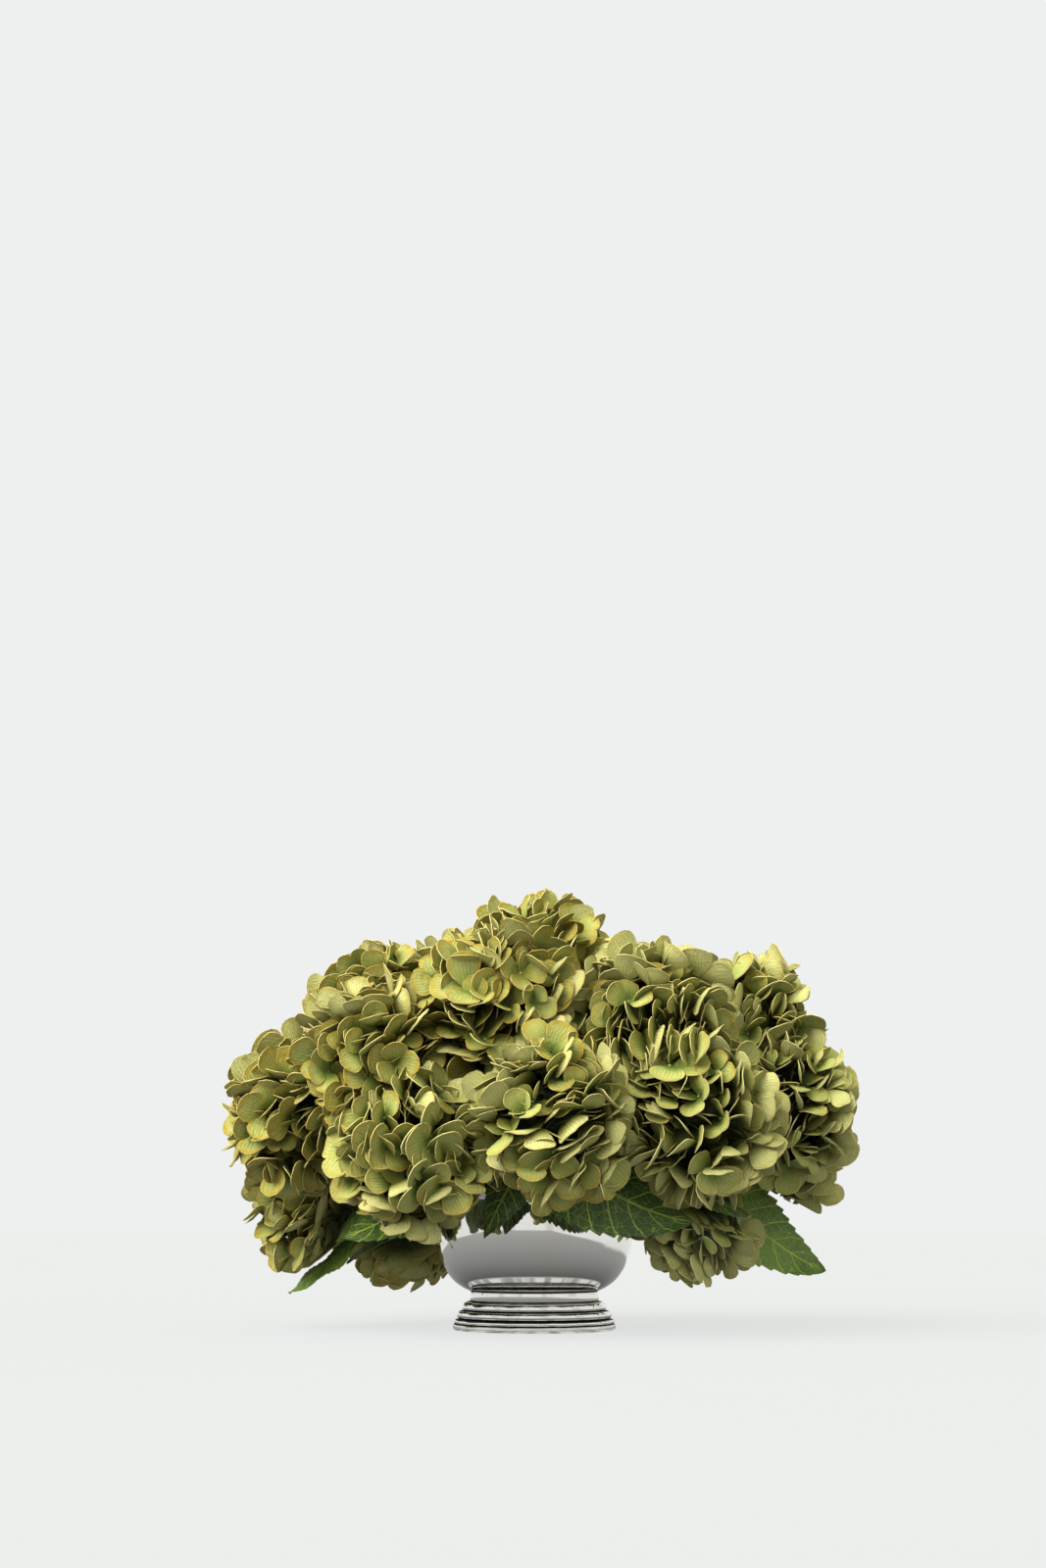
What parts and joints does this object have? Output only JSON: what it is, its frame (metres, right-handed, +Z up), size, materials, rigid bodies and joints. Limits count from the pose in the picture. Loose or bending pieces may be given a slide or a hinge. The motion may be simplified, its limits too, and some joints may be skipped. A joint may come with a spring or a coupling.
{
  "type": "hydrangea arrangement in a footed bowl",
  "caption": "Low, wide dome of green hydrangea heads with toothed leaves, standing in floral foam in a polished silver bowl on a stepped foot.",
  "frame": {"origin": "centre of the foot's flat underside, which is where the bowl's vertical axis meets the surface it stands on", "axes": "+Z up along the bowl's axis; +X to the right as seen in the picture, along the bouquet's widest extent; the picture's front faces -Y"},
  "size_m": [0.4876, 0.4201, 0.3292],
  "materials": {
    "silver": "mirror-polished silver plate, dark in the grooves of the foot",
    "foam": "matte, fine-celled floral foam",
    "stem": "matte green-brown bark",
    "petal": "soft matte, olive green with ochre edges and fine veins",
    "leaf": "satin dark green with yellow-green net veins"
  },
  "bodies": {
    "root": {"foot": "silver", "bowl": "silver", "floral_foam": "foam", "stem_01": "stem", "stem_02": "stem", "stem_03": "stem", "stem_04": "stem", "stem_05": "stem", "stem_06": "stem", "stem_07": "stem", "stem_08": "stem", "stem_09": "stem", "stem_10": "stem", "stem_11": "stem", "stem_12": "stem", "stem_13": "stem", "stem_14": "stem", "stem_15": "stem", "stem_16": "stem", "stem_17": "stem", "stem_18": "stem", "stem_19": "stem", "stem_20": "stem", "stem_21": "stem", "flower_head_01": "petal", "flower_head_02": "petal", "flower_head_03": "petal", "flower_head_04": "petal", "flower_head_05": "petal", "flower_head_06": "petal", "flower_head_07": "petal", "flower_head_08": "petal", "flower_head_09": "petal", "flower_head_10": "petal", "flower_head_11": "petal", "flower_head_12": "petal", "flower_head_13": "petal", "flower_head_14": "petal", "flower_head_15": "petal", "flower_head_16": "petal", "flower_head_17": "petal", "flower_head_18": "petal", "flower_head_19": "petal", "flower_head_20": "petal", "flower_head_21": "petal", "leaf_01": "leaf", "leaf_02": "leaf", "leaf_03": "leaf", "leaf_04": "leaf", "leaf_05": "leaf", "leaf_06": "leaf", "leaf_07": "leaf", "leaf_08": "leaf", "leaf_09": "leaf", "leaf_10": "leaf", "leaf_11": "leaf", "leaf_12": "leaf"}
  },
  "joints": []
}
